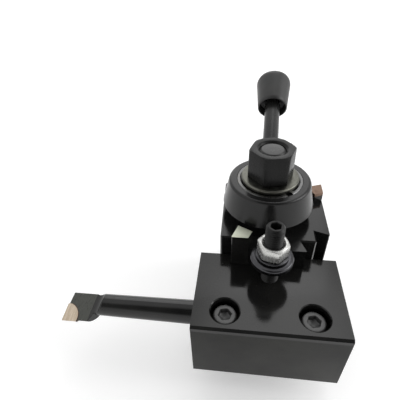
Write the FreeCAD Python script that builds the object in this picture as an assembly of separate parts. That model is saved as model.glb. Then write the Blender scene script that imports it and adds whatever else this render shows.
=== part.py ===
import FreeCAD, Part
import os
from math import asin, atan2, cos, degrees, radians, sin, sqrt, tan

# Wedge-type quick change tool post for a small lathe, with one boring bar holder hung on its front
# dovetail.  Millimetres.  +Z is up, the stud axis is the Z axis, and the origin is the middle of the
# T-nut's underside.  The tool holder hangs on the -Y side and the lever points to +Y.

os.makedirs("parts", exist_ok=True)
Vec = FreeCAD.Vector
UP = Vec(0, 0, 1)

# ---- fits -------------------------------------------------------------------------------------
running_gap = 0.05            # radial clearance of anything that turns or slides in a bore
flat_gap = 0.1                # clearance between flat faces that slide past each other
dovetail_gap = 0.03           # clearance on the clamping flanks of the dovetail
floor_gap = 0.3               # clearance between the dovetail's front and the groove's floor

# ---- T-nut and stud ---------------------------------------------------------------------------
t_nut_length = 60.0           # along Y, the direction of the compound slide's slot
t_nut_flange_width = 38.0
t_nut_flange_height = 7.0
t_nut_neck_width = 16.0
t_nut_neck_height = 6.0
stud_radius = 6.0             # M12
stud_bottom_z = 2.5           # the tapped hole stops here, so the underside is whole
base_z = 14.0                 # plane of the compound slide's top, on which the post stands

# ---- post body --------------------------------------------------------------------------------
body_half = 22.0
body_height = 46.5
body_top = base_z + body_height
body_edge = 0.7
dovetail_depth = 6.5
dovetail_tip = 16.7           # half-width at the front of the male dovetail
dovetail_root = 14.33         # half-width where it meets the body
dovetail_flat = 0.4           # truncated tip
wedge_setback = 0.45          # the body's own flank lies this far behind the wedge's flank
cam_bore_radius = 15.0
cam_bore_depth = 24.2

# ---- centre sleeve, which carries the nut's load past the cap -----------------------------------
sleeve_radius = 8.5
sleeve_neck_radius = 7.5
sleeve_shoulder = 15.0        # heights here and below are above the body's top
sleeve_top = 18.5
sleeve_foot_radius = 12.0
sleeve_foot_height = 3.0
collar_height = 3.0
washer_radius = 13.6
washer_height = 2.5
nut_across = 19.0
nut_height = 14.4
stud_top = 34.9

# ---- cap, cam drum and lever --------------------------------------------------------------------
cap_radius = 21.9             # at the cap's bottom edge; its side tapers upwards
cap_top_radius = 19.2
cap_bottom = 5.7              # the drum's neck shows below this height
cap_top = 18.9
cap_round = 1.5
recess_radius = 15.0
ring_groove_depth = 0.6
ring_height = 1.0
ring_width = 1.5
ring_opening_angle = 12.0
ring_opening_at = -56.0       # direction of the snap ring's opening, seen from above
drum_bottom = -24.0
drum_spigot = 3.0             # the drum's top reaches this far into the cap
dowel_radius = 1.5
dowel_circle = 12.0
lever_radius = 4.3
lever_rise = 23.0             # degrees above the horizontal
lever_swing = -2.7            # degrees, lever direction seen from above, measured from +Y
lever_origin = 21.0           # lever distances are measured from this far out
lever_exit_height = 12.0      # height of the lever's axis at that distance
lever_inner_radius = 15.3     # the lever's threaded end reaches in to here
lever_shoulder_radius = 18.6
lever_thread_radius = 3.0
knob_start = 41.6
knob_length = 25.2
knob_end_radius = 8.4
knob_radius = 10.2
knob_dome_radius = 12.5
knob_round = 4.0
knob_recess_radius = 7.6
knob_recess_depth = 5.0
knob_thread_depth = 16.0

# ---- clamping wedges --------------------------------------------------------------------------
wedge_tilt = 3.0              # degrees from the vertical
wedge_travel = 4.0
wedge_rise = 6.5              # the top stands this far above the body when it is locked
wedge_length = 36.5
wedge_back = -20.8            # Y of the wedge's innermost edge
wedge_nose = Vec(-7.5, -24.2, 0)
wedge_front_x = -9.3
side_wedge_lag = 1.6          # the free side's wedge sits this much lower
wedge_pin_radius = 2.5
wedge_pin_height = -14.0
wedge_pin_outer = 28.5
wedge_pin_inner = 12.3
cam_turn = 100.0              # degrees of lever travel from locked to free
groove_gap = 0.2

# ---- tool holder ------------------------------------------------------------------------------
holder_width = 63.5
holder_middle = 0.45          # the block's middle lies this far beside its dovetail's middle
holder_front = -63.4
holder_back = -body_half - 0.07
holder_height = 34.24
holder_drop = 10.8            # the holder's top lies this far below the body's top
holder_top = body_top - holder_drop
holder_bottom = holder_top - holder_height
holder_edge = 0.6
holder_front_edge = 1.0
bar_y = -43.9
bar_z = holder_top - 18.6
shank_radius = 6.0
slit_width = 1.5
apron = 3.0                   # wall left in front of the slit, so the front face stays whole
clamp_x = 18.2
clamp_y = holder_front + 9.2
clamp_screw_radius = 3.0
clamp_head_radius = 5.0
clamp_head_height = 6.0
clamp_head_below = 2.7
clamp_length = 20.0
clamp_socket_across = 5.0
counterbore_radius = 6.2

# ---- height adjuster --------------------------------------------------------------------------
adjuster_x = holder_middle + 0.6
adjuster_y = -34.7
adjuster_radius = 3.95        # M8
adjuster_top = 20.1
adjuster_depth = 12.0
adjuster_socket_across = 4.0
flange_radius = 9.3
flange_height = 3.3
spacer_radius = 7.15
spacer_height = 1.4
lock_across = 12.0
lock_height = 6.5

# ---- boring bar -------------------------------------------------------------------------------
neck_radius = 5.1              # at the head; the neck thickens towards the shank
neck_root_radius = 5.7
shank_start = -27.0
shank_end = 28.0
head_left = -94.4
head_right = -82.0
head_back = 5.6               # distances here are from the bar's axis
head_front = 9.7
head_taper = 4.0              # length of the slope that joins the head to the neck at the back
head_bevel = 2.0              # and on the cutting side
relief_radius = 10.3          # the head's underside is turned about an axis above the bar's axis
relief_rise = 4.6
relief_offset = -0.5
runout_radius = 5.5
tip_thickness = 2.6
tip_proud = 0.15
tip_overhang = 0.5
tip_width = 7.3
tip_length = 9.2
tip_bulge = 5.0


def save(name, shape):
    """Write one node as a STEP file."""
    shape.exportStep("parts/" + name + ".step")


def disc(radius, low, high, x=0.0, y=0.0):
    """Upright cylinder between two heights."""
    return Part.makeCylinder(radius, high - low, Vec(x, y, low), UP)


def block(x0, x1, y0, y1, z0, z1):
    """Box between opposite corners."""
    return Part.makeBox(x1 - x0, y1 - y0, z1 - z0, Vec(x0, y0, z0))


def prism(points, low, high, lean_x=0.0):
    """Polygon raised between two heights; lean_x shifts its top sideways."""
    ring = [Vec(p[0], p[1], low) for p in points]
    ring.append(ring[0])
    return Part.Face(Part.makePolygon(ring)).extrude(Vec(lean_x, 0, high - low))


def hexagon(across, low, high, x=0.0, y=0.0, turn=0.0):
    """Upright hexagonal prism with the given size across its flats."""
    corner = across / sqrt(3)
    angles = [radians(turn + 60 * k) for k in range(6)]
    return prism([(x + corner * cos(a), y + corner * sin(a)) for a in angles], low, high)


def chamfered_disc(radius, low, high, edge, x=0.0, y=0.0, both=True):
    """Cylinder with its top edge, and its bottom edge too, cut back at 45 degrees."""
    profile = [(0, low), (radius - edge, low), (radius, low + edge)] if both else [(0, low), (radius, low)]
    profile += [(radius, high - edge), (radius - edge, high), (0, high)]
    return turned(profile, x, y)


def turned(profile, x=0.0, y=0.0):
    """Solid turned about an upright axis from a profile of (radius, height) points."""
    ring = [Vec(x + r, y, z) for r, z in profile]
    ring.append(ring[0])
    face = Part.Face(Part.makePolygon(ring))
    return face.revolve(Vec(x, y, 0), UP, 360)


def machine_nut(across, low, high, hole, x=0.0, y=0.0, turn=0.0, both=True):
    """Hexagon nut: corners bevelled on top and, if wanted, below; hole countersunk at both ends."""
    corner = across / sqrt(3)
    bevel = corner - across / 2 + 0.3
    drop = bevel * tan(radians(30))
    outside = corner + 0.01
    foot = [(corner - bevel, low), (outside, low + drop)] if both else [(outside, low)]
    limit = turned([(0, low)] + foot + [(outside, high - drop), (corner - bevel, high), (0, high)], x, y)
    sink = 0.5
    bore = turned([(0, low - 1), (hole + sink + 1, low - 1), (hole, low + sink), (hole, high - sink),
                   (hole + sink + 1, high + 1), (0, high + 1)], x, y)
    return hexagon(across, low, high, x, y, turn).common(limit).cut(bore)


def mirrored(shape):
    """The side dovetail's parts mirror the front ones across the body's diagonal."""
    return shape.mirror(Vec(0, 0, 0), Vec(1, 1, 0))


def lagging(shape):
    """Lower the side wedge's parts along the wedge's slope."""
    moved = shape.copy()
    moved.translate(Vec(0, -sin(radians(wedge_tilt)), -cos(radians(wedge_tilt))) * side_wedge_lag)
    return moved


# ---- shared shapes ----------------------------------------------------------------------------
flank_slope = (dovetail_tip - dovetail_root) / dovetail_depth
dovetail_front = -body_half - dovetail_depth
lean = tan(radians(wedge_tilt))
wedge_top = body_top + wedge_rise
wedge_bottom = wedge_top - wedge_length


def flank_x(y, setback=0.0):
    """X of the left clamping flank at a given Y."""
    return -dovetail_tip + setback - (y - dovetail_front) * -flank_slope


def dovetail_outline(gap, left_setback):
    """Outline of the male dovetail, grown by a gap and set back on the wedge's side."""
    front = dovetail_front - gap
    rear = -body_half + 1.0
    half = dovetail_tip + gap
    left_front = -half + left_setback
    reach = dovetail_depth + gap + 1.0 - dovetail_flat
    return [
        (half - dovetail_flat * 0.4, front),
        (half, front + dovetail_flat),
        (half - reach * flank_slope, rear),
        (left_front + reach * flank_slope, rear),
        (left_front, front + dovetail_flat),
        (left_front + dovetail_flat * 0.4, front),
    ]


def wedge_space(gap, low, high):
    """Leaning channel that seats the wedge: it is undercut towards the middle of the dovetail."""
    seat_slope = (wedge_back - wedge_nose.y) / (flank_x(wedge_back) - wedge_nose.x)
    outside = -26.0
    back_y = wedge_nose.y + (outside - wedge_nose.x) * seat_slope
    shift = (wedge_top - low) * lean
    grow = gap * 1.2
    points = [
        (outside + shift, back_y + grow),
        (wedge_nose.x + shift + grow, wedge_nose.y + grow * 0.3),
        (wedge_front_x + shift + gap, dovetail_front),
        (wedge_front_x + shift + gap, dovetail_front - 2.0),
        (outside + shift, dovetail_front - 2.0),
    ]
    return prism(points, low, high, -(high - low) * lean)


pin_direction = Vec(-11.9, -24.9, 0)
pin_direction.normalize()
pin_angle = degrees(atan2(pin_direction.y, pin_direction.x))


def radial_pin(radius, inner, outer, height, angle):
    """Horizontal cylinder that points at the stud axis."""
    direction = Vec(cos(radians(angle)), sin(radians(angle)), 0)
    start = direction * inner + Vec(0, 0, body_top + height)
    return Part.makeCylinder(radius, outer - inner, start, direction)


# ---- T-nut and stud ---------------------------------------------------------------------------
def t_nut():
    half = t_nut_length / 2
    flange = block(-t_nut_flange_width / 2, t_nut_flange_width / 2, -half, half, 0, t_nut_flange_height)
    neck_top = t_nut_flange_height + t_nut_neck_height
    neck = block(-t_nut_neck_width / 2, t_nut_neck_width / 2, -half, half, t_nut_flange_height - 1, neck_top)
    body = flange.fuse(neck).removeSplitter()
    uprights = [e for e in body.Edges if abs(e.tangentAt(e.FirstParameter).z) > 0.99]
    body = body.makeChamfer(1.0, uprights)
    return body.cut(disc(stud_radius, stud_bottom_z, neck_top + 1))


def centre_stud():
    return chamfered_disc(stud_radius, stud_bottom_z, body_top + stud_top, 0.8)


# ---- post body --------------------------------------------------------------------------------
def wedge_pocket():
    low = wedge_bottom - wedge_travel - side_wedge_lag - 1.0
    limit = block(-40, 0, dovetail_front - 5, wedge_back + flat_gap, low, body_top + 1)
    inside = [(flank_x(dovetail_front - 5) - 0.3, dovetail_front - 5), (0, dovetail_front - 5),
              (0, wedge_back + 1), (flank_x(wedge_back + 1) - 0.3, wedge_back + 1)]
    pocket = wedge_space(flat_gap, low, body_top + 1).common(limit)
    return pocket.common(prism(inside, low, body_top + 1))


def pin_window():
    half = wedge_pin_radius + groove_gap
    top = body_top + wedge_pin_height + half
    low = top - wedge_travel - side_wedge_lag - 2 * half - 0.3
    window = block(cam_bore_radius - 2, 26.5, -half - 0.2, half + 0.2, low, top)
    window.rotate(Vec(0, 0, 0), UP, pin_angle)
    return window


def post_body():
    core = block(-body_half, body_half, -body_half, body_half, base_z, body_top)
    core = core.makeChamfer(body_edge, core.Edges)
    male = prism(dovetail_outline(0, wedge_setback), base_z, body_top)
    body = core.fuse([male, mirrored(male)])
    cuts = [disc(cam_bore_radius, body_top - cam_bore_depth, body_top + 1),
            disc(sleeve_radius, base_z - 1, body_top),
            disc(sleeve_foot_radius, base_z - 1, base_z + sleeve_foot_height)]
    for cutter in (wedge_pocket(), pin_window()):
        cuts += [cutter, mirrored(cutter)]
    for cutter in cuts:
        body = body.cut(cutter)
    return body


def centre_sleeve():
    outline = [(stud_radius + running_gap, base_z + 0.2), (sleeve_foot_radius, base_z + 0.2),
               (sleeve_foot_radius, base_z + sleeve_foot_height),
               (sleeve_radius, base_z + sleeve_foot_height),
               (sleeve_radius, body_top + sleeve_shoulder), (sleeve_neck_radius, body_top + sleeve_shoulder),
               (sleeve_neck_radius, body_top + sleeve_top), (stud_radius + running_gap, body_top + sleeve_top)]
    return turned(outline)


def thrust_collar():
    low = body_top + sleeve_shoulder
    body = disc(recess_radius - flat_gap, low, low + collar_height)
    return body.cut(disc(sleeve_neck_radius, low - 1, low + collar_height + 1))


def top_washer():
    low = body_top + sleeve_top
    body = chamfered_disc(washer_radius, low, low + washer_height, 0.5)
    return body.cut(disc(stud_radius + 0.1, low - 1, low + washer_height + 1))


def centre_nut():
    low = body_top + sleeve_top + washer_height
    return machine_nut(nut_across, low, low + nut_height, stud_radius + running_gap, turn=10, both=False)


# ---- cap, cam drum and lever --------------------------------------------------------------------
lever_flat = Vec(-sin(radians(lever_swing)), cos(radians(lever_swing)), 0)
lever_axis = lever_flat * cos(radians(lever_rise)) + UP * sin(radians(lever_rise))
lever_exit = lever_flat * lever_origin + Vec(0, 0, body_top + lever_exit_height)
ring_low = body_top + sleeve_shoulder + collar_height + 0.05


def along_lever(radius, start, end):
    """Cylinder on the lever's axis between two distances from its origin."""
    return Part.makeCylinder(radius, end - start, lever_exit + lever_axis * start, lever_axis)


def lever_rod():
    inner = (lever_inner_radius - lever_origin) / cos(radians(lever_rise))
    shoulder = (lever_shoulder_radius - lever_origin) / cos(radians(lever_rise))
    rod = along_lever(lever_radius, shoulder, knob_start + knob_thread_depth)
    return rod.fuse(along_lever(lever_thread_radius, inner, shoulder + 1)).removeSplitter()


def cam_dowels():
    pins = []
    for angle in (5, 185):
        x = dowel_circle * cos(radians(angle))
        y = dowel_circle * sin(radians(angle))
        pins.append(disc(dowel_radius, body_top + cap_bottom - 2, body_top + cap_bottom + 6, x, y))
    return Part.makeCompound(pins)


def cam_cap():
    low = body_top + cap_bottom
    high = body_top + cap_top
    edge = 0.5
    outline = [(0, low), (cap_radius - edge, low), (cap_radius, low + edge), (cap_top_radius, high), (0, high)]
    body = turned(outline)
    top_rim = [e for e in body.Edges if e.isClosed() and e.BoundBox.ZMin > high - 0.1]
    body = body.makeFillet(cap_round, top_rim)
    recess_floor = body_top + sleeve_shoulder - flat_gap
    cuts = [disc(sleeve_radius + running_gap, low - 1, high),
            disc(recess_radius, recess_floor, high + 1),
            disc(recess_radius + ring_groove_depth, ring_low - 0.05, ring_low + ring_height + 0.05),
            disc(cam_bore_radius - running_gap, low - 1, low + drum_spigot),
            lever_rod()]
    for cutter in cuts + cam_dowels().Solids:
        body = body.cut(cutter)
    return body


def cam_drum():
    low = body_top + drum_bottom
    high = body_top + cap_bottom + drum_spigot
    body = disc(cam_bore_radius - running_gap, low, high)
    body = body.cut(disc(sleeve_radius + running_gap, low - 1, high + 1))
    for start, lag in ((pin_angle, 0), (-90 - pin_angle, side_wedge_lag)):
        for turn in range(-4, int(cam_turn) + 5, 4):
            drop = min(max(turn / cam_turn, 0), 1) * wedge_travel
            cutter = radial_pin(wedge_pin_radius + groove_gap, wedge_pin_inner - 0.4, cam_bore_radius + 1,
                                wedge_pin_height - drop - lag, start - turn)
            body = body.cut(cutter)
    for cutter in cam_dowels().Solids:
        body = body.cut(cutter)
    return body


def snap_ring():
    outer = recess_radius + ring_groove_depth - 0.1
    inner = outer - ring_width
    high = ring_low + ring_height
    body = disc(outer, ring_low, high).cut(disc(inner, ring_low - 1, high + 1))
    reach = cap_radius
    half = radians(ring_opening_angle / 2)
    middle = radians(ring_opening_at)
    slot = prism([(0, 0), (reach * cos(middle - half), reach * sin(middle - half)),
                  (reach * cos(middle + half), reach * sin(middle + half))], ring_low - 1, high + 1)
    return body.cut(slot)


def lever_knob():
    """Turned about its own axis, then laid along the lever."""
    dome_base = knob_length - knob_dome_radius
    side_top = dome_base + sqrt(knob_dome_radius ** 2 - knob_radius ** 2)
    rim = Vec(knob_radius, 0, side_top)
    side = [Vec(knob_recess_radius, 0, 0), Vec(knob_end_radius, 0, 0), rim]
    edges = [Part.makeLine(side[0], side[1]), Part.makeLine(side[1], side[2])]
    top = Vec(0, 0, knob_length)
    half_way = asin(knob_radius / knob_dome_radius) / 2
    crown = Vec(knob_dome_radius * sin(half_way), 0, dome_base + knob_dome_radius * cos(half_way))
    edges.append(Part.Arc(rim, crown, top).toShape())
    recess = Vec(knob_recess_radius, 0, knob_recess_depth)
    inner = [top, Vec(0, 0, knob_thread_depth), Vec(lever_radius, 0, knob_thread_depth),
             Vec(lever_radius, 0, knob_recess_depth + 1.5), recess, side[0]]
    for start, end in zip(inner, inner[1:]):
        edges.append(Part.makeLine(start, end))
    body = Part.Face(Part.Wire(edges)).revolve(Vec(0, 0, 0), UP, 360)
    rims = [e for e in body.Edges if e.isClosed() and abs(e.BoundBox.ZMin - side_top) < 0.1 and e.Length > 40]
    body = body.makeFillet(knob_round, rims)
    body.Placement = FreeCAD.Placement(lever_exit + lever_axis * knob_start, FreeCAD.Rotation(UP, lever_axis))
    return body


# ---- clamping wedges --------------------------------------------------------------------------
def front_wedge_pin():
    return radial_pin(wedge_pin_radius, wedge_pin_inner, wedge_pin_outer, wedge_pin_height, pin_angle)


def front_wedge():
    corner = 0.35
    right = -2.0
    outline = [(flank_x(dovetail_front + corner), dovetail_front + corner),
               (-dovetail_tip + corner, dovetail_front), (right, dovetail_front),
               (right, wedge_back), (flank_x(wedge_back), wedge_back)]
    body = wedge_space(0, wedge_bottom, wedge_top).common(prism(outline, wedge_bottom, wedge_top))
    return body.cut(front_wedge_pin())


# ---- tool holder ------------------------------------------------------------------------------
def clamp_screw(x):
    top = holder_top - clamp_head_below
    seat = top - clamp_head_height
    head = chamfered_disc(clamp_head_radius, seat, top, 0.5, x, clamp_y, both=False)
    shank = chamfered_disc(clamp_screw_radius, seat - clamp_length, seat + 1, 0.6, x, clamp_y)
    socket = hexagon(clamp_socket_across, top - 3.2, top + 1, x, clamp_y, turn=12)
    return head.fuse(shank).removeSplitter().cut(socket)


def holder_slit():
    """Runs forward from the bore past the screws, then turns down behind the front apron."""
    side = holder_width / 2 + 1
    front = holder_front + apron
    half = slit_width / 2
    across = block(-side, side, front, bar_y, bar_z - half, bar_z + half)
    down = block(-side, side, front, front + slit_width, holder_bottom - 1, bar_z + half)
    return across.fuse(down).removeSplitter()


def tool_holder():
    left = holder_middle - holder_width / 2
    body = block(left, left + holder_width, holder_front, holder_back, holder_bottom, holder_top)
    front_top = [e for e in body.Edges
                 if e.BoundBox.ZMin > holder_top - 0.1 and e.BoundBox.YMax < holder_front + 0.1]
    body = body.makeChamfer(holder_front_edge, front_top)
    others = [e for e in body.Edges if e.BoundBox.YMin > holder_front + 2
              or (e.BoundBox.YMax < holder_front + 0.1 and e.BoundBox.ZMax < holder_top - 1.5)]
    body = body.makeChamfer(holder_edge, others)
    groove = dovetail_outline(dovetail_gap, 0)
    deep = prism(groove, holder_bottom - 1, holder_top + 1)
    front = dovetail_front - floor_gap
    floor = block(-dovetail_tip, dovetail_tip, front, dovetail_front + 1, holder_bottom - 1, holder_top + 1)
    cuts = [deep, floor, along_bar(shank_radius + running_gap, -holder_width, holder_width), holder_slit(),
            disc(adjuster_radius, holder_top - adjuster_depth, holder_top + 1, adjuster_x, adjuster_y)]
    seat = holder_top - clamp_head_below - clamp_head_height
    for x in (holder_middle - clamp_x, holder_middle + clamp_x):
        cuts.append(turned([(0, seat), (counterbore_radius, seat), (counterbore_radius, holder_top - 0.4),
                            (counterbore_radius + 1.4, holder_top + 1), (0, holder_top + 1)], x, clamp_y))
        cuts.append(disc(clamp_screw_radius + 0.3, bar_z, seat + 1, x, clamp_y))
        cuts.append(disc(clamp_screw_radius + running_gap, seat - clamp_length - 2, bar_z, x, clamp_y))
    for cutter in cuts:
        body = body.cut(cutter)
    return body


# ---- height adjuster --------------------------------------------------------------------------
def on_adjuster(low, high):
    """Running hole for the height screw through a piece between two heights."""
    return disc(adjuster_radius + running_gap, low - 1, high + 1, adjuster_x, adjuster_y)


def height_screw():
    low = holder_top - adjuster_depth + 0.3
    top = body_top + adjuster_top
    body = chamfered_disc(adjuster_radius, low, top, 0.8, adjuster_x, adjuster_y)
    return body.cut(hexagon(adjuster_socket_across, top - 4.5, top + 1, adjuster_x, adjuster_y, turn=20))


def height_flange_nut():
    low = body_top + 0.02
    high = body_top + flange_height
    return chamfered_disc(flange_radius, low, high, 0.5, adjuster_x, adjuster_y).cut(on_adjuster(low, high))


def height_spacer():
    low = body_top + flange_height
    high = low + spacer_height
    return chamfered_disc(spacer_radius, low, high, 0.25, adjuster_x, adjuster_y).cut(on_adjuster(low, high))


def height_lock_nut():
    low = body_top + flange_height + spacer_height
    hole = adjuster_radius + running_gap
    return machine_nut(lock_across, low, low + lock_height, hole, adjuster_x, adjuster_y, turn=-12)


# ---- boring bar -------------------------------------------------------------------------------
def relief(grow):
    """Round that leaves the cutting edges free: everything outside it is ground away."""
    centre = Vec(head_left - 5, bar_y + relief_offset, bar_z + relief_rise)
    return Part.makeCylinder(relief_radius + grow, 30, centre, Vec(1, 0, 0))


def carbide_tip():
    """Brazed cutting tip: straight on its two cutting sides, rounded on the inner side."""
    left = head_left - tip_overhang
    front = bar_y - head_front - tip_overhang
    back = front + tip_length
    right = left + tip_width
    top = bar_z + tip_proud
    points = [Vec(left, back, top), Vec(left + 0.4, front, top), Vec(right, front, top)]
    middle = Vec(right - 0.9, front + tip_bulge, top)
    end = Vec(left + 1.7, back, top)
    edges = [Part.makeLine(points[0], points[1]), Part.makeLine(points[1], points[2]),
             Part.Arc(points[2], middle, end).toShape(), Part.makeLine(end, points[0])]
    plate = Part.Face(Part.Wire(edges)).extrude(Vec(0, 0, -tip_thickness))
    return plate.common(relief(tip_overhang))


def along_bar(radius, start, end):
    """Cylinder on the bar's axis between two X positions."""
    return Part.makeCylinder(radius, end - start, Vec(start, bar_y, bar_z), Vec(1, 0, 0))


def boring_bar():
    shank = along_bar(shank_radius, shank_start, shank_end)
    shank = shank.makeChamfer(0.6, [e for e in shank.Edges if e.isClosed()])
    neck = Part.makeCone(neck_radius, neck_root_radius, shank_start + 1 - head_right,
                         Vec(head_right, bar_y, bar_z), Vec(1, 0, 0))
    slope_end = head_right + head_taper
    outline = [(head_left, bar_y + head_back), (head_left, bar_y - head_front),
               (head_right, bar_y - head_front), (head_right + head_bevel, bar_y - neck_radius * 0.8),
               (slope_end, bar_y + neck_radius * 0.8), (head_right, bar_y + head_back)]
    head = prism(outline, bar_z - shank_radius, bar_z).common(relief(0))
    body = shank.fuse([neck, head])
    sweep = 15.0
    runout = Part.makeCylinder(runout_radius, 2 * sweep, Vec(head_right, bar_y - sweep, bar_z + runout_radius),
                               Vec(0, 1, 0))
    clear = block(head_left - 1, head_right, bar_y - sweep, bar_y + sweep, bar_z, bar_z + 10)
    body = body.cut(runout).cut(clear)
    return body.removeSplitter().cut(carbide_tip())


front_pin = front_wedge_pin()
front = front_wedge()
nodes = {
    "t_nut": t_nut(),
    "centre_stud": centre_stud(),
    "post_body": post_body(),
    "centre_sleeve": centre_sleeve(),
    "thrust_collar": thrust_collar(),
    "top_washer": top_washer(),
    "centre_nut": centre_nut(),
    "cam_cap": cam_cap(),
    "cam_drum": cam_drum(),
    "cam_dowels": cam_dowels(),
    "snap_ring": snap_ring(),
    "lever_rod": lever_rod(),
    "lever_knob": lever_knob(),
    "front_wedge": front,
    "front_wedge_pin": front_pin,
    "side_wedge": lagging(mirrored(front)),
    "side_wedge_pin": lagging(mirrored(front_pin)),
    "tool_holder": tool_holder(),
    "clamp_screw_left": clamp_screw(holder_middle - clamp_x),
    "clamp_screw_right": clamp_screw(holder_middle + clamp_x),
    "height_screw": height_screw(),
    "height_flange_nut": height_flange_nut(),
    "height_spacer": height_spacer(),
    "height_lock_nut": height_lock_nut(),
    "boring_bar": boring_bar(),
    "carbide_tip": carbide_tip(),
}

for name, shape in nodes.items():
    save(name, shape)
    box = shape.BoundBox
    print(name, len(shape.Solids), shape.isValid(), round(shape.Volume), round(box.XMin, 1), round(box.XMax, 1),
          round(box.YMin, 1), round(box.YMax, 1), round(box.ZMin, 1), round(box.ZMax, 1))
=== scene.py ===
import math

import bmesh
import bpy
from mathutils import Matrix, Vector


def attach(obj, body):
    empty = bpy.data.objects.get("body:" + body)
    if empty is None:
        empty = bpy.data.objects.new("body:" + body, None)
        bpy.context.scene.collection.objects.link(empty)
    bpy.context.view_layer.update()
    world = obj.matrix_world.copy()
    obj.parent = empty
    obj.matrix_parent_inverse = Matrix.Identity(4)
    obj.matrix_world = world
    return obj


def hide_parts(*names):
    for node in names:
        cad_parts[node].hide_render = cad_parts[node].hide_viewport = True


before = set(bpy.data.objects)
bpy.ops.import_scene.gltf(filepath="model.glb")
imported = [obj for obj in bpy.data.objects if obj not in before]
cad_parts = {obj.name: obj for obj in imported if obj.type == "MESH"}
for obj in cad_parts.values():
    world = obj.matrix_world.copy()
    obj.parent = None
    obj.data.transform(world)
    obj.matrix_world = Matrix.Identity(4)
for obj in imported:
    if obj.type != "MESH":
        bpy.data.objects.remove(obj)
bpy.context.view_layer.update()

# Quick change tool post on a pale floor.  Lengths below are in millimetres in the row frame and are
# scaled to metres when a mesh is made.  Most CAD nodes keep their shape.  The stud, screws, nuts, lever
# rod, knob, washer, spacer and snap ring are replaced by detailed pieces, and a braze line is added.
MM = 0.001
AROUND = 96          # points round a turned piece


# ---- mesh helpers -----------------------------------------------------------------------------
def place(origin=(0, 0, 0), axis=(0, 0, 1)):
    """Matrix that stands a piece built along +Z on a point, along an axis."""
    turn = Vector((0, 0, 1)).rotation_difference(Vector(axis).normalized()).to_matrix().to_4x4()
    return Matrix.Translation(Vector(origin)) @ turn


def skin(name, loops, where=None, ring=False, angle=35.0):
    """Bridges loops of equal length into one closed piece; open ends are filled with a fan."""
    count = len(loops[0])
    verts = [Vector(p) for loop in loops for p in loop]
    faces = []
    rows = len(loops)
    for j in range(rows if ring else rows - 1):
        a = j * count
        b = ((j + 1) % rows) * count
        for i in range(count):
            k = (i + 1) % count
            faces.append((a + i, a + k, b + k, b + i))
    if not ring:
        for first in (0, (rows - 1) * count):
            centre = len(verts)
            verts.append(sum((verts[first + i] for i in range(count)), Vector()) / count)
            for i in range(count):
                faces.append((centre, first + (i + 1) % count, first + i))
    return mesh(name, verts, faces, where, angle)


def mesh(name, verts, faces, where=None, angle=35.0):
    """Makes an object from points in millimetres, with its faces turned outwards."""
    where = where or Matrix.Identity(4)
    data = bpy.data.meshes.new(name)
    data.from_pydata([(where @ Vector(v)) * MM for v in verts], [], faces)
    bm = bmesh.new()
    bm.from_mesh(data)
    bmesh.ops.remove_doubles(bm, verts=bm.verts, dist=1e-7)
    bmesh.ops.dissolve_degenerate(bm, edges=bm.edges, dist=1e-8)
    bmesh.ops.recalc_face_normals(bm, faces=bm.faces)
    bm.to_mesh(data)
    bm.free()
    obj = bpy.data.objects.new(name, data)
    bpy.context.scene.collection.objects.link(obj)
    data.shade_smooth()
    data.set_sharp_from_angle(angle=math.radians(angle))
    return obj


def circle(radius, z, count=AROUND):
    """Level ring of points; the radius may depend on the angle."""
    pick = radius if callable(radius) else lambda a: radius
    height = z if callable(z) else lambda a: z
    steps = [2 * math.pi * i / count for i in range(count)]
    return [(pick(a) * math.cos(a), pick(a) * math.sin(a), height(a)) for a in steps]


def hex_radius(across, turn=0.0, soften=0.12):
    """Distance to a hexagon's side at each angle, with slightly rounded corners."""
    def radius(a):
        off = (math.degrees(a) - turn) % 60 - 30
        straight = across / 2 / math.cos(math.radians(off))
        corner = across / math.sqrt(3) - soften
        if straight < corner - soften:
            return straight
        return corner - soften * math.exp((corner - straight) / soften - 1)
    return radius


def rounded(profile, fillet):
    """Replaces the corners of an open (radius, z) profile with small arcs."""
    steps = 3
    points = [Vector((r, z)) for r, z in profile]
    out = [points[0]]
    for before, corner, after in zip(points, points[1:], points[2:]):
        to_before = before - corner
        to_after = after - corner
        reach = min(fillet, to_before.length * 0.45, to_after.length * 0.45)
        start = corner + to_before.normalized() * reach
        end = corner + to_after.normalized() * reach
        for k in range(steps + 1):
            t = k / steps
            out.append(start * (1 - t) ** 2 + corner * 2 * t * (1 - t) + end * t ** 2)
    out.append(points[-1])
    return [(p.x, p.y) for p in out]


def turned(name, profile, where=None, ring=False, fillet=0.12):
    """Turned piece from a (radius, z) profile with softened corners."""
    if ring:
        middle = ((profile[0][0] + profile[-1][0]) / 2, (profile[0][1] + profile[-1][1]) / 2)
        profile = [middle] + list(profile) + [middle]
        softened = rounded(profile, fillet)[:-1]
    else:
        softened = rounded(profile, fillet)
    return skin(name, [circle(max(r, 0.01), z) for r, z in softened], where, ring)


def thread_loops(radius, pitch, low, high, depth, count=AROUND, per_turn=10):
    """Loops of a right-hand thread between two heights that fades out at both ends."""
    loops = []
    steps = max(2, int((high - low) / pitch * per_turn))
    for j in range(steps + 1):
        z = low + (high - low) * j / steps
        fade = min(1.0, (z - low) / pitch, (high - z) / (pitch * 0.7))

        def groove(a, z=z, fade=fade):
            phase = (z / pitch - a / (2 * math.pi)) % 1
            wave = min(1.0, max(0.0, (abs(phase - 0.5) - 0.06) / 0.38))
            return radius - depth * fade * (1 - wave) - 0.02
        loops.append(circle(groove, z, count))
    return loops


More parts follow.
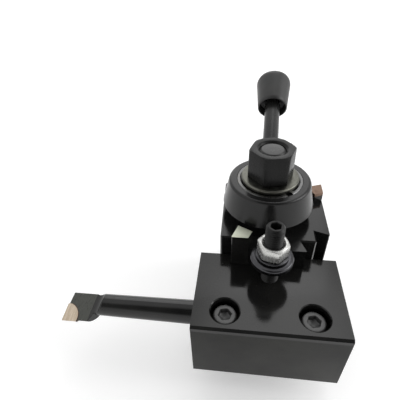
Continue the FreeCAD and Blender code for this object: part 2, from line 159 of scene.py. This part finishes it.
def socket_loops(across, turn, top, floor_z, rim, count=AROUND):
    """From a screw's top down into a hexagon socket with a drilled, coned floor."""
    hexagon = hex_radius(across, turn, 0.05)
    drill = across * 0.5
    lead = 0.25
    return [
        circle(rim, top, count),
        circle(lambda a: hexagon(a) + lead, top, count),
        circle(lambda a: hexagon(a) + 0.06, top - lead * 0.8, count),
        circle(hexagon, top - lead * 1.3, count),
        circle(hexagon, floor_z + 0.15, count),
        circle(drill * 0.98, floor_z, count),
        circle(drill * 0.6, floor_z - 0.35, count),
        circle(drill * 0.2, floor_z - 0.75, count),
    ]


def nut_loops(across, low, high, hole, turn, sink=0.8, face=0.96, foot=True):
    """Closed ring of loops of a hexagon nut with coned corners, softened edges and a sunk hole."""
    hexagon = hex_radius(across, turn)
    flat = across / 2 * face
    slope = math.tan(math.radians(30))

    def shoulder(side, end):
        return lambda a: end - side * max(0.0, hexagon(a) - flat) * slope

    def lip(inset):
        return lambda a: min(hexagon(a), flat) - inset

    under, over = shoulder(-1, low), shoulder(1, high)
    soft = 0.12
    if foot:
        base = [circle(lip(soft * 1.4), low), circle(lip(soft * 0.5), low + soft * 0.1),
                circle(lambda a: hexagon(a) - soft * 0.35, lambda a: under(a) + soft * 0.3),
                circle(hexagon, lambda a: under(a) + soft)]
    else:
        base = [circle(lambda a: hexagon(a) - 0.15, low), circle(hexagon, low + 0.1)]
    return [circle(hole + sink, low)] + base + [
        circle(hexagon, lambda a: over(a) - soft),
        circle(lambda a: hexagon(a) - soft * 0.35, lambda a: over(a) - soft * 0.3),
        circle(lip(soft * 0.5), high - soft * 0.1),
        circle(lip(soft * 1.4), high),
        circle(hole + sink + 0.05, high),
        circle(hole + sink * 0.85, high - 0.08),
        circle(hole + 0.03, high - sink * 0.9),
        circle(hole, high - sink),
        circle(hole, low + sink),
    ]


# ---- materials --------------------------------------------------------------------------------
class Finish:
    """Principled material with object-space noise for its colour, roughness and bump."""

    def __init__(self, name, metallic=0.0, ior=1.5):
        self.material = bpy.data.materials.new(name)
        self.material.use_nodes = True
        self.tree = self.material.node_tree
        self.shader = self.tree.nodes["Principled BSDF"]
        self.shader.inputs["Metallic"].default_value = metallic
        self.shader.inputs["IOR"].default_value = ior
        self.place = self.node("ShaderNodeTexCoord").outputs["Object"]
        self.bumps = None

    def node(self, kind, **values):
        made = self.tree.nodes.new(kind)
        for key, value in values.items():
            setattr(made, key, value)
        return made

    def link(self, source, target):
        self.tree.links.new(source, target)

    def stretched(self, scale=(1, 1, 1), turn=(0, 0, 0)):
        """Object coordinates stretched along an axis, for brushed or turned marks."""
        mapping = self.node("ShaderNodeMapping")
        mapping.inputs["Rotation"].default_value = turn
        mapping.inputs["Scale"].default_value = scale
        self.link(self.place, mapping.inputs["Vector"])
        return mapping.outputs["Vector"]

    def noise(self, scale, detail=4.0, roughness=0.55, where=None):
        """Noise whose scale is in features per metre."""
        made = self.node("ShaderNodeTexNoise")
        made.inputs["Scale"].default_value = scale
        made.inputs["Detail"].default_value = detail
        made.inputs["Roughness"].default_value = roughness
        self.link(where or self.place, made.inputs["Vector"])
        return made.outputs["Fac"]

    def ramp(self, factor, stops):
        """Colour ramp; stops are (position, colour or grey)."""
        made = self.node("ShaderNodeValToRGB")
        elements = made.color_ramp.elements
        while len(elements) < len(stops):
            elements.new(0.5)
        for element, (position, value) in zip(elements, stops):
            element.position = position
            element.color = (*value, 1) if isinstance(value, tuple) else (value, value, value, 1)
        self.link(factor, made.inputs["Fac"])
        return made.outputs["Color"]

    def mix(self, factor, first, second, kind="MIX"):
        made = self.node("ShaderNodeMix", data_type="RGBA", blend_type=kind)
        for socket, value in ((made.inputs[0], factor), (made.inputs[6], first), (made.inputs[7], second)):
            if isinstance(value, tuple):
                socket.default_value = (*value, 1)
            elif isinstance(value, (int, float)):
                socket.default_value = value
            else:
                self.link(value, socket)
        return made.outputs[2]

    def colour(self, source):
        self.link(source, self.shader.inputs["Base Color"])

    def rough(self, source):
        self.link(source, self.shader.inputs["Roughness"])

    def bump(self, height, distance, strength=1.0):
        """Adds one layer of relief; distance is in metres."""
        made = self.node("ShaderNodeBump")
        made.inputs["Distance"].default_value = distance
        made.inputs["Strength"].default_value = strength
        self.link(height, made.inputs["Height"])
        if self.bumps:
            self.link(self.bumps, made.inputs["Normal"])
        self.bumps = made.outputs["Normal"]
        self.link(self.bumps, self.shader.inputs["Normal"])


def black_oxide(name, dark=0.010, light=0.022, rough=(0.10, 0.2), grain=(1, 1, 1), wear=0.3, ior=1.42):
    """Blackened, oiled steel: nearly black with a clean gloss, faint grinding lines and handling marks."""
    f = Finish(name, ior=ior)
    cloud = f.noise(60, 5)
    base = f.ramp(cloud, [(0.3, (dark, dark, dark * 1.02)), (0.75, (light, light, light * 0.98))])
    flecks = f.ramp(f.noise(900, 2), [(0.70, 0.0), (0.78, 1.0)])
    base = f.mix(flecks, base, (light * 2.2, light * 2.15, light * 2.0))
    along = (grain[0] * 8, grain[1] * 0.6, grain[2] * 6)
    scratch = f.noise(160, 3, 0.7, f.stretched(along, (0.3, 0.2, 0.6)))
    marks = f.ramp(scratch, [(0.66, 0.0), (0.72, wear)])
    f.colour(f.mix(marks, base, (0.09, 0.09, 0.085)))
    streaks = f.noise(240, 4, 0.6, f.stretched(grain))
    low, high = rough
    f.rough(f.ramp(f.mix(0.5, streaks, cloud), [(0.3, low), (0.7, high)]))
    f.bump(streaks, 0.000012, 0.35)
    f.bump(f.noise(2600, 2), 0.000006, 0.25)
    return f.material


def bright_steel(name, colour, rough=(0.2, 0.4), grain=(1, 1, 1), stain=(0.3, 0.27, 0.22), amount=0.25,
                 metallic=1.0):
    """Bare or plated metal with directional marks and a little staining."""
    f = Finish(name, metallic=metallic)
    lines = f.noise(500, 4, 0.65, f.stretched(grain))
    darker = tuple(c * 0.72 for c in colour)
    base = f.ramp(lines, [(0.3, darker), (0.7, colour)])
    spots = f.ramp(f.noise(220, 4), [(0.52, 0.0), (0.74, amount)])
    f.colour(f.mix(spots, base, stain))
    low, high = rough
    f.rough(f.ramp(f.mix(0.4, lines, f.noise(90, 3)), [(0.3, low), (0.7, high)]))
    f.bump(lines, 0.00002, 0.4)
    f.bump(f.noise(1500, 2), 0.000008, 0.3)
    return f.material


def bare_top(name, colour, bare_from, grain, stain):
    """Blackened wedge, ground bare above a height in the node's own space."""
    f = Finish(name, ior=1.42)
    position = f.node("ShaderNodeSeparateXYZ")
    f.link(f.place, position.inputs[0])
    above = f.node("ShaderNodeMapRange")
    above.inputs["From Min"].default_value = (bare_from - 0.12) * MM
    above.inputs["From Max"].default_value = (bare_from - 0.06) * MM
    f.link(position.outputs["Z"], above.inputs["Value"])
    bare = above.outputs["Result"]
    lines = f.noise(600, 4, 0.65, f.stretched(grain))
    ground = f.ramp(lines, [(0.3, tuple(c * 0.8 for c in colour)), (0.7, colour)])
    ground = f.mix(f.ramp(f.noise(300, 4), [(0.5, 0.0), (0.75, 0.45)]), ground, stain)
    black = f.ramp(f.noise(80, 5), [(0.3, (0.006, 0.006, 0.006)), (0.75, (0.016, 0.016, 0.015))])
    f.colour(f.mix(bare, black, ground))
    f.link(bare, f.shader.inputs["Metallic"])
    smooth = f.ramp(lines, [(0.3, 0.12), (0.7, 0.22)])
    f.rough(f.mix(bare, smooth, f.ramp(lines, [(0.3, 0.36), (0.7, 0.5)])))
    f.bump(lines, 0.00002, 0.4)
    return f.material


def holder_black(gloss_from):
    """Oiled black block: clean gloss above a height in the node's own space, duller and cloudier below.

    The duller part is set metallic, with a nearly black colour, so that its reflections stay dark.
    """
    f = Finish("holder_black", ior=1.39)
    position = f.node("ShaderNodeSeparateXYZ")
    f.link(f.place, position.inputs[0])
    top = f.node("ShaderNodeMapRange")
    top.inputs["From Min"].default_value = (gloss_from - 0.10) * MM
    top.inputs["From Max"].default_value = (gloss_from - 0.04) * MM
    f.link(position.outputs["Z"], top.inputs["Value"])
    cloud = f.noise(60, 5)
    upper = f.ramp(cloud, [(0.3, (0.007, 0.007, 0.007)), (0.75, (0.014, 0.014, 0.013))])
    lower = f.ramp(f.noise(34, 6, 0.62), [(0.3, (0.010, 0.010, 0.010)), (0.7, (0.028, 0.028, 0.025))])
    flecks = f.ramp(f.noise(900, 2), [(0.70, 0.0), (0.78, 0.6)])
    f.colour(f.mix(flecks, f.mix(top.outputs["Result"], lower, upper), (0.032, 0.031, 0.028)))
    f.link(f.ramp(top.outputs["Result"], [(0.0, 1.0), (1.0, 0.0)]), f.shader.inputs["Metallic"])
    streaks = f.noise(240, 4, 0.6, f.stretched((1, 12, 1)))
    f.rough(f.mix(top.outputs["Result"], f.ramp(f.mix(0.5, streaks, cloud), [(0.3, 0.16), (0.7, 0.28)]),
                  f.ramp(f.mix(0.5, streaks, cloud), [(0.3, 0.08), (0.7, 0.15)])))
    f.bump(streaks, 0.000012, 0.35)
    f.bump(f.noise(2600, 2), 0.000006, 0.25)
    return f.material


def boring_bar_black():
    """Blackened bar whose flat head top is ground to an olive grey."""
    head_start, head_full = -82.2, -82.6      # along the bar
    flat_start, flat_full = 31.0, 31.07       # height of the head's flat top
    f = Finish("bar_black", ior=1.45)
    cloud = f.noise(90, 5)
    base = f.ramp(cloud, [(0.3, (0.005, 0.005, 0.005)), (0.75, (0.013, 0.013, 0.012))])
    position = f.node("ShaderNodeSeparateXYZ")
    f.link(f.place, position.inputs[0])
    head = f.node("ShaderNodeMapRange")
    head.inputs["From Min"].default_value = head_start * MM
    head.inputs["From Max"].default_value = head_full * MM
    f.link(position.outputs["X"], head.inputs["Value"])
    flat = f.node("ShaderNodeMapRange")
    flat.inputs["From Min"].default_value = flat_start * MM
    flat.inputs["From Max"].default_value = flat_full * MM
    f.link(position.outputs["Z"], flat.inputs["Value"])
    both = f.mix(1.0, head.outputs["Result"], flat.outputs["Result"], "MULTIPLY")
    lines = f.noise(420, 4, 0.6, f.stretched((6, 1, 1), (0, 0, 0.5)))
    olive = f.ramp(lines, [(0.3, (0.024, 0.026, 0.021)), (0.7, (0.052, 0.054, 0.045))])
    f.colour(f.mix(both, base, olive))
    streaks = f.noise(260, 4, 0.6, f.stretched((0.4, 12, 12)))
    smooth = f.ramp(streaks, [(0.3, 0.10), (0.7, 0.2)])
    f.rough(f.mix(both, smooth, f.ramp(lines, [(0.3, 0.25), (0.7, 0.4)])))
    f.bump(streaks, 0.000015, 0.4)
    return f.material


def knob_plastic():
    """Satin black moulding with a fine grain."""
    f = Finish("knob_plastic", ior=1.48)
    cloud = f.noise(45, 4)
    base = f.ramp(cloud, [(0.3, (0.012, 0.012, 0.012)), (0.7, (0.022, 0.022, 0.021))])
    dust = f.ramp(f.noise(1400, 2), [(0.72, 0.0), (0.8, 0.5)])
    f.colour(f.mix(dust, base, (0.06, 0.06, 0.058)))
    f.rough(f.ramp(f.noise(120, 4), [(0.3, 0.38), (0.7, 0.5)]))
    f.bump(f.noise(1800, 3), 0.00003, 0.35)
    return f.material


def carbide():
    """Ground carbide: warm champagne grey with fine parallel grinding lines."""
    f = Finish("carbide", metallic=0.55, ior=1.8)
    lines = f.noise(900, 3, 0.6, f.stretched((1.6, 0.12, 1.0), (0, 0, 0.25)))
    base = f.ramp(lines, [(0.3, (0.36, 0.28, 0.20)), (0.55, (0.50, 0.41, 0.31)), (0.75, (0.68, 0.60, 0.49))])
    f.colour(f.mix(f.ramp(f.noise(500, 3), [(0.5, 0.0), (0.8, 0.4)]), base, (0.30, 0.25, 0.19)))
    f.rough(f.ramp(lines, [(0.3, 0.3), (0.7, 0.5)]))
    f.bump(lines, 0.00002, 0.4)
    return f.material


def braze():
    """Brown-black brazing flux line round the tip."""
    f = Finish("braze", ior=1.4)
    f.colour(f.ramp(f.noise(1200, 4), [(0.3, (0.010, 0.005, 0.004)), (0.7, (0.075, 0.024, 0.015))]))
    f.rough(f.ramp(f.noise(700, 3), [(0.3, 0.5), (0.7, 0.8)]))
    f.bump(f.noise(1600, 3), 0.00006, 0.6)
    return f.material


HOLDER_GLOSS_FROM = 47.0      # 2.7 below the block's top, so the gloss also covers the top of its sides
FRONT_WEDGE_BARE_FROM = 67.0  # the wedge's top
SIDE_WEDGE_BARE_FROM = 64.0   # 1.4 below the wedge's top

materials = {
    "holder": holder_black(HOLDER_GLOSS_FROM),
    "body": black_oxide("body_black", 0.006, 0.012, (0.10, 0.18), (1, 1, 10), 0.10),
    "cap": black_oxide("cap_black", 0.005, 0.011, (0.18, 0.28), (1, 1, 14), 0.08, 1.4),
    "nut": black_oxide("nut_black", 0.004, 0.010, (0.2, 0.32), (1, 1, 1), 0.2, 1.27),
    "stud": black_oxide("stud_grey", 0.014, 0.03, (0.22, 0.34), (1, 1, 1), 0.3),
    "lever": black_oxide("lever_black", 0.010, 0.022, (0.2, 0.34), (14, 0.4, 1), 0.3),
    "bar": boring_bar_black(),
    "drum": bright_steel("drum_steel", (0.20, 0.20, 0.20), (0.25, 0.4), (1, 1, 12)),
    "washer": bright_steel("washer_steel", (0.15, 0.15, 0.13), (0.24, 0.4),
                           stain=(0.05, 0.046, 0.034), amount=0.6),
    "ring": bright_steel("ring_steel", (0.16, 0.16, 0.16), (0.22, 0.34)),
    "flange": bright_steel("flange_steel", (0.075, 0.075, 0.08), (0.16, 0.28),
                           stain=(0.03, 0.03, 0.03), amount=0.35),
    # Bright steel for the flange's sloping rim faces: a painted highlight.
    "rim": bright_steel("rim_highlight", (0.42, 0.42, 0.43), (0.16, 0.28)),
    "zinc": bright_steel("zinc_plate", (0.66, 0.66, 0.64), (0.2, 0.34),
                         stain=(0.30, 0.29, 0.28), amount=0.4, metallic=0.82),
    "ground": bare_top("ground_steel", (0.56, 0.58, 0.48), FRONT_WEDGE_BARE_FROM, (2, 16, 1),
                       (0.34, 0.34, 0.26)),
    # The side wedge is ground bare on top; the coppery brown tint on that bare steel is a painted
    # reflection.
    "brown_top": bare_top("aged_steel", (0.20, 0.135, 0.10), SIDE_WEDGE_BARE_FROM, (16, 2, 1),
                     (0.07, 0.04, 0.03)),
    # Lighter black for the nut's chamfer faces: a painted highlight along its edges, partly standing for
    # rubbed wear.
    "edge": black_oxide("edge_highlight_and_wear", 0.05, 0.11, (0.22, 0.36), (1, 1, 1), 0.5, 1.5),
    # Near-white for the clamp screws' socket floors: a painted highlight.
    "socket_floor_highlight": bright_steel("socket_floor_highlight", (0.95, 0.95, 0.84), (0.35, 0.5), amount=0.1, metallic=0.1),
    "cap_screw": black_oxide("cap_screw_grey", 0.03, 0.08, (0.25, 0.4), (1, 1, 1), 0.4, 1.5),
    "dark_screw": black_oxide("height_screw_black", 0.004, 0.010, (0.3, 0.45), (1, 1, 1), 0.12, 1.35),
    "knob": knob_plastic(),
    "carbide": carbide(),
    "braze": braze(),
}


def dress(obj, *names):
    """Gives an object its materials, in slot order."""
    obj.data.materials.clear()
    for name in names:
        obj.data.materials.append(materials[name])


def split_off_edge_faces(obj, inner, middle=(0, 0)):
    """Gives the sloping edge faces outside a radius the object's second material; the callers use this for
    painted highlights and painted shade.
    """
    upright, level = 0.2, 0.97       # vertical part of the normal of a side and of a top
    centre = Vector((*middle, 0)) * MM
    for face in obj.data.polygons:
        if upright < abs(face.normal.z) < level and (face.center - centre).xy.length > inner * MM:
            face.material_index = 1


def add(obj, body, slot, *names):
    """Dresses a detailed piece and hangs it on its body."""
    dress(obj, *names)
    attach(obj, body)
    return obj


# ---- centre column: stud, nut, washer -----------------------------------------------------------
STUD_END = 95.4
NUT_LOW, NUT_HIGH = 81.53, 95.9

stud = skin("centre_stud_threaded", (
    [circle(5.1, 2.55), circle(5.9, 3.3)]
    + thread_loops(6.0, 1.75, 3.6, STUD_END - 0.9, 0.95)
    + [circle(5.85, STUD_END - 0.85), circle(5.2, STUD_END - 0.18), circle(5.0, STUD_END - 0.06),
       circle(4.7, STUD_END - 0.01), circle(1.0, STUD_END - 0.05)]))
add(stud, "base", "black_oxide", "stud")
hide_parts("centre_stud")

nut = skin("centre_nut_finished", nut_loops(19.0, NUT_LOW, NUT_HIGH, 6.06, 10, sink=1.1, face=1.03,
                                         foot=False), ring=True, angle=28)
# The nut's sloping chamfer faces get a lighter black: a painted highlight along its edges, partly standing
# for rubbed wear.
split_off_edge_faces(nut, 8.5)
add(nut, "clamp_nut", "black_oxide", "nut", "edge")
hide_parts("centre_nut")

washer = turned("top_washer_finished",
                [(6.2, 79.02), (13.1, 79.02), (13.6, 79.5), (13.6, 81.0), (13.1, 81.5), (6.2, 81.5)],
                ring=True, fillet=0.25)
add(washer, "post", "ground_steel", "washer")
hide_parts("top_washer")


# ---- snap ring ----------------------------------------------------------------------------------
def snap_ring():
    """Rounded-section ring with an opening and eyes at its ends."""
    low, high = 78.55, 79.5
    inner, outer = 14.0, 15.45
    soft = 0.18
    start = math.radians(-56 + 6)
    sweep = math.radians(360 - 12)
    steps = 150
    section = [(inner, low + soft), (inner + soft, low), (outer - soft, low), (outer, low + soft),
               (outer, high - soft), (outer - soft, high), (inner + soft, high), (inner, high - soft)]
    loops = []
    for j in range(steps + 1):
        a = start + sweep * j / steps
        edge = min(j, steps - j) / steps * math.degrees(sweep)
        lug = 0.9 * math.exp(-(edge / 7.0) ** 2)
        inwards = [(r - lug if r < inner + soft * 2 else r, z) for r, z in section]
        loops.append([(r * math.cos(a), r * math.sin(a), z) for r, z in inwards])
    return skin("snap_ring_finished", loops)


ring = add(snap_ring(), "cap", "spring_steel", "ring")
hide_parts("snap_ring")

# ---- lever --------------------------------------------------------------------------------------
SWING = math.radians(-2.7)
RISE = math.radians(23.0)
FLAT = Vector((-math.sin(SWING), math.cos(SWING), 0))
LEVER = FLAT * math.cos(RISE) + Vector((0, 0, 1)) * math.sin(RISE)
LEVER_ORIGIN = 21.0           # distances along the lever start this far out
LEVER_HEIGHT = 72.5
LEVER_INNER = 15.3            # the rod's threaded end reaches in to here
LEVER_SHOULDER = 18.6
LEVER_RADIUS = 4.27
KNOB_START, KNOB_LENGTH = 41.6, 25.2
EXIT = FLAT * LEVER_ORIGIN + Vector((0, 0, LEVER_HEIGHT))
on_lever = place(EXIT, LEVER)

inner = (LEVER_INNER - LEVER_ORIGIN) / math.cos(RISE)
shoulder = (LEVER_SHOULDER - LEVER_ORIGIN) / math.cos(RISE)
rod = skin("lever_rod_finished", (
    [circle(2.2, inner + 0.02), circle(2.7, inner + 0.4)]
    + thread_loops(3.0, 1.0, inner + 0.5, shoulder - 0.2, 0.45, per_turn=8)
    + [circle(3.0, shoulder + 0.05), circle(3.8, shoulder + 0.05), circle(LEVER_RADIUS, shoulder + 0.5)]
    + [circle(LEVER_RADIUS, shoulder + 0.5 + k * (KNOB_START - shoulder) / 12) for k in range(1, 12)]
    + [circle(LEVER_RADIUS, 46.3), circle(3.9, 46.9)]
    + thread_loops(4.1, 1.25, 47.3, 56.7, 0.6)
    + [circle(3.2, 57.5)]), on_lever)
add(rod, "cap", "black_oxide", "lever")
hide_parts("lever_rod")


def knob():
    """Turned knob: straight taper, rolled shoulder, low dome, and a recess round the lever."""
    dome, widest, mouth = 12.5, 10.2, 8.4
    dome_base = KNOB_LENGTH - dome
    profile = [(4.33, 16.0), (4.33, 6.5), (7.3, 5.2), (7.6, 0.3),
               (7.8, 0.0), (mouth - 0.3, 0.0), (mouth, 0.3)]
    side_top = dome_base + math.sqrt(dome ** 2 - widest ** 2)
    shoulder_start = side_top - 2.0
    for k in range(1, 9):
        t = k / 8
        flare = (widest - mouth) * shoulder_start / side_top
        profile.append((mouth + flare * t, 0.3 + (shoulder_start - 0.3) * t))
    wide = profile[-1]
    meet = math.asin(widest / dome) * 0.83
    end = (dome * math.sin(meet), dome_base + dome * math.cos(meet))
    tip = (widest + 0.02, side_top + 0.4)
    for k in range(1, 11):
        t = k / 10
        before, at, after = (1 - t) ** 2, 2 * t * (1 - t), t ** 2
        profile.append(tuple(wide[i] * before + tip[i] * at + end[i] * after for i in (0, 1)))
    for k in range(1, 16):
        a = meet * (1 - k / 15)
        profile.append((max(dome * math.sin(a), 0.05), dome_base + dome * math.cos(a)))
    profile.append((0.02, KNOB_LENGTH))
    profile = [(0.02, 16.0)] + profile
    return skin("lever_knob_finished", [circle(r, KNOB_START + z) for r, z in profile],
                on_lever, angle=50)


handle = add(knob(), "cap", "knob_plastic", "knob")
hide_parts("lever_knob")

# ---- height adjuster ------------------------------------------------------------------------------
ADJUST = Vector((1.05, -34.7, 0))
on_adjuster = place(ADJUST)
SCREW_TOP = 80.6

screw = skin("height_screw_threaded", (
    [circle(3.1, 38.02), circle(3.6, 38.5)]
    + thread_loops(3.95, 1.25, 38.6, SCREW_TOP - 1.0, 0.62)
    + [circle(3.75, SCREW_TOP - 0.9), circle(3.28, SCREW_TOP - 0.1), circle(3.12, SCREW_TOP)]
    + socket_loops(4.0, 20, SCREW_TOP, SCREW_TOP - 4.3, 2.9)), on_adjuster)
add(screw, "holder", "screw_steel", "dark_screw")
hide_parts("height_screw")

lock = skin("height_lock_nut_finished", nut_loops(12.0, 65.22, 71.7, 4.01, -12, sink=1.0, face=0.93),
            on_adjuster, ring=True, angle=28)
add(lock, "height_nuts", "zinc", "zinc")
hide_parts("height_lock_nut")

flange = turned("height_flange_nut_finished",
                [(4.1, 60.54), (8.8, 60.54), (9.3, 61.0), (9.3, 62.9), (8.8, 63.45), (8.3, 63.6),
                 (7.9, 63.78), (4.1, 63.78)], on_adjuster, ring=True, fillet=0.3)
# The flange's sloping rim faces get bright steel: a painted highlight along its edges.
split_off_edge_faces(flange, 8.4, ADJUST.xy)
add(flange, "height_nuts", "screw_steel", "flange", "rim")
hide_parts("height_flange_nut")

spacer = turned("height_spacer_finished",
                [(4.1, 63.82), (6.9, 63.82), (7.15, 64.05), (7.15, 64.95), (6.9, 65.18), (4.1, 65.18)],
                on_adjuster, ring=True, fillet=0.2)
# The spacer keeps its zinc only on its sloping edge faces; the rest is dressed in the flange's dark steel as
# painted shade under the lock nut.
split_off_edge_faces(spacer, 6.3, ADJUST.xy)
add(spacer, "height_carrier", "zinc", "flange", "zinc")
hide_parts("height_spacer")


# ---- bar clamping screws --------------------------------------------------------------------------
HOLDER_MIDDLE = 0.45
CLAMP_X, CLAMP_Y = 18.2, -54.2    # distance from the block's middle, and place along Y


def clamp_screw(name, x):
    """Socket head cap screw with a knurled head, threaded shank and drilled socket."""
    top, seat = 47.0, 41.0
    centre = Vector((x, CLAMP_Y, 0))
    socket_radius = 2.85
    floor_lowest, floor_highest, wall_highest = top - 3.6, top - 2.33, top - 0.3
    teeth = 40
    count = 160

    def knurl(depth):
        return lambda a: 4.98 - depth * (0.5 + 0.5 * math.cos(teeth * a))
    loops = [circle(2.2, 21.02, count), circle(2.7, 21.6, count)]
    loops += thread_loops(3.0, 1.0, 21.7, seat - 3.0, 0.5, count)
    loops += [circle(2.95, seat - 2.8, count), circle(2.95, seat - 0.05, count), circle(4.5, seat, count),
              circle(4.85, seat + 0.25, count)]
    loops += [circle(knurl(0.0), seat + 0.7, count), circle(knurl(0.3), seat + 1.1, count),
              circle(knurl(0.3), top - 1.2, count), circle(knurl(0.0), top - 0.85, count)]
    loops += [circle(4.75, top - 0.3, count), circle(4.45, top - 0.04, count), circle(4.2, top, count)]
    loops += socket_loops(5.0, 12, top, top - 2.4, 3.4, count)
    made = skin(name, loops, place(centre))
    # The socket's floor gets a near-white painted highlight; its walls get the darker height-screw black as
    # painted shade in the recess.
    for face in made.data.polygons:
        inside = (face.center - centre * MM).xy.length < socket_radius * MM
        height = face.center.z / MM
        if inside and floor_lowest < height < floor_highest:
            face.material_index = 1
        elif inside and floor_highest <= height < wall_highest:
            face.material_index = 2
    return made


for side, x in (("left", HOLDER_MIDDLE - CLAMP_X), ("right", HOLDER_MIDDLE + CLAMP_X)):
    piece = clamp_screw("clamp_screw_" + side + "_finished", x)
    # Slot 1 is the socket floor's painted highlight, slot 2 the socket walls' painted shade.
    add(piece, side + "_clamp", "screw_steel", "cap_screw", "socket_floor_highlight", "dark_screw")
    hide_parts("clamp_screw_" + side)


# ---- braze line round the carbide tip -----------------------------------------------------------------
def braze_line():
    """Low bead along the tip's inner arc, through the three points that set the arc."""
    z = 31.13
    start, middle, end = Vector((-87.6, -54.05, z)), Vector((-88.5, -49.1, z)), Vector((-93.2, -44.9, z))
    a, b = middle - start, end - start
    denominator = 2 * (a.x * b.y - a.y * b.x)
    centre = start + Vector((b.y * a.length_squared - a.y * b.length_squared,
                             a.x * b.length_squared - b.x * a.length_squared, 0)) / denominator
    radius = (start - centre).length
    first = math.atan2(start.y - centre.y, start.x - centre.x)
    last = math.atan2(end.y - centre.y, end.x - centre.x)
    loops = []
    steps = 40
    for j in range(steps + 1):
        t = j / steps
        angle = first + (last - first) * t
        out = Vector((math.cos(angle), math.sin(angle), 0))
        width = 0.30 + 0.07 * math.sin(9 * t + 0.6) + 0.04 * math.sin(23 * t)
        section = [(-0.08, -0.5), (-0.08, 0.02), (width * 0.4, 0.10), (width, 0.03), (width + 0.12, -0.5)]
        loops.append([centre + out * (radius + r) + Vector((0, 0, h)) for r, h in section])
    return skin("braze_line", loops, angle=60)


add(braze_line(), "bar", "carbide", "braze")

# ---- CAD nodes that keep their shape ----------------------------------------------------------------
finishes = {
    "body": ("t_nut", "post_body"),
    "drum": ("centre_sleeve", "cam_drum", "cam_dowels", "front_wedge_pin", "side_wedge_pin"),
    "cap": ("thrust_collar", "cam_cap"),
    "ground": ("front_wedge",),
    "brown_top": ("side_wedge",),
    "holder": ("tool_holder",),
    "bar": ("boring_bar",),
    "carbide": ("carbide_tip",),
}
for finish, nodes in finishes.items():
    for node in nodes:
        dress(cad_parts[node], finish)

# ---- floor, light and camera ------------------------------------------------------------------------
floor_finish = Finish("floor_pale")
floor_finish.colour(floor_finish.ramp(floor_finish.noise(3, 3), [(0.3, 0.76), (0.7, 0.79)]))
floor_finish.rough(floor_finish.ramp(floor_finish.noise(20, 3), [(0.3, 0.6), (0.7, 0.75)]))
floor_finish.bump(floor_finish.noise(400, 2), 0.00002, 0.1)
floor_finish.shader.inputs["Emission Color"].default_value = (1, 1, 1, 1)
floor_finish.shader.inputs["Emission Strength"].default_value = 0.34
floor_mesh = bpy.data.meshes.new("floor")
FLOOR_RADIUS = 4.0       # metres, as are the places of the lights and of the camera below
FLOOR_DROP = -0.0002
floor_rim = circle(FLOOR_RADIUS, FLOOR_DROP)
floor_mesh.from_pydata(floor_rim, [], [tuple(range(AROUND))])
floor = bpy.data.objects.new("floor", floor_mesh)
floor.data.materials.append(floor_finish.material)
bpy.context.scene.collection.objects.link(floor)

# Directions of the sky's dark patch and of its bright one.
DARK_PATCH = (0.10, -0.62, 0.78)
BRIGHT_PATCH = (0.13, 0.49, 0.862)

scene = bpy.context.scene
scene.view_settings.view_transform = "Standard"
world = bpy.data.worlds.new("studio")
scene.world = world
world.use_nodes = True
sky = world.node_tree
to_sky = sky.nodes.new("ShaderNodeTexCoord").outputs["Generated"]
toward = sky.nodes.new("ShaderNodeVectorMath")
toward.operation = "DOT_PRODUCT"
toward.inputs[1].default_value = DARK_PATCH
sky.links.new(to_sky, toward.inputs[0])
dim = sky.nodes.new("ShaderNodeMapRange")
dim.interpolation_type = "SMOOTHSTEP"
dim.inputs["From Min"].default_value = 0.72
dim.inputs["From Max"].default_value = 0.92
dim.inputs["To Min"].default_value = 0.98
dim.inputs["To Max"].default_value = 0.12
sky.links.new(toward.outputs["Value"], dim.inputs["Value"])
sky.nodes["Background"].inputs["Color"].default_value = (1.0, 1.0, 1.0, 1)
overhead = sky.nodes.new("ShaderNodeVectorMath")
overhead.operation = "DOT_PRODUCT"
overhead.inputs[1].default_value = BRIGHT_PATCH
sky.links.new(to_sky, overhead.inputs[0])
lift = sky.nodes.new("ShaderNodeMapRange")
lift.interpolation_type = "SMOOTHSTEP"
lift.inputs["From Min"].default_value = 0.955
lift.inputs["From Max"].default_value = 0.999
lift.inputs["To Min"].default_value = 0.0
lift.inputs["To Max"].default_value = 1.7
sky.links.new(overhead.outputs["Value"], lift.inputs["Value"])
whole = sky.nodes.new("ShaderNodeMath")
sky.links.new(dim.outputs["Result"], whole.inputs[0])
sky.links.new(lift.outputs["Result"], whole.inputs[1])
sky.links.new(whole.outputs[0], sky.nodes["Background"].inputs["Strength"])


def softbox(name, position, target, size, power):
    """Large square area light aimed at a point."""
    light = bpy.data.lights.new(name, "AREA")
    light.shape = "SQUARE"
    light.size = size
    light.energy = power
    made = bpy.data.objects.new(name, light)
    made.location = position
    made.rotation_mode = "QUATERNION"
    made.rotation_quaternion = (Vector(target) - Vector(position)).to_track_quat("-Z", "Y")
    scene.collection.objects.link(made)


softbox("right_light", (0.75, 0.05, 0.55), (0, 0, 0.04), 0.5, 2.6)
softbox("back_light", (-0.1, 0.9, 0.7), (0, 0, 0.04), 0.8, 1.8)

camera = bpy.data.objects.new("camera", bpy.data.cameras.new("camera"))
camera.data.sensor_width = 36.0
camera.data.lens = 31.45
camera.data.clip_start = 0.01
camera.data.clip_end = 20.0
CAMERA_PLACE = (-0.013796, -0.139558, 0.175475)
yaw, pitch, roll = math.radians(-8.2523), math.radians(38.2650), math.radians(2.4555)
ahead = Vector((math.sin(yaw) * math.cos(pitch), math.cos(yaw) * math.cos(pitch), -math.sin(pitch)))
right = Vector((math.cos(yaw), -math.sin(yaw), 0))
down = ahead.cross(right)
across = right * math.cos(roll) + down * math.sin(roll)
below = down * math.cos(roll) - right * math.sin(roll)
camera.matrix_world = Matrix.Translation(CAMERA_PLACE) @ Matrix(
    (across, -below, -ahead)).transposed().to_4x4()
scene.collection.objects.link(camera)
scene.camera = camera
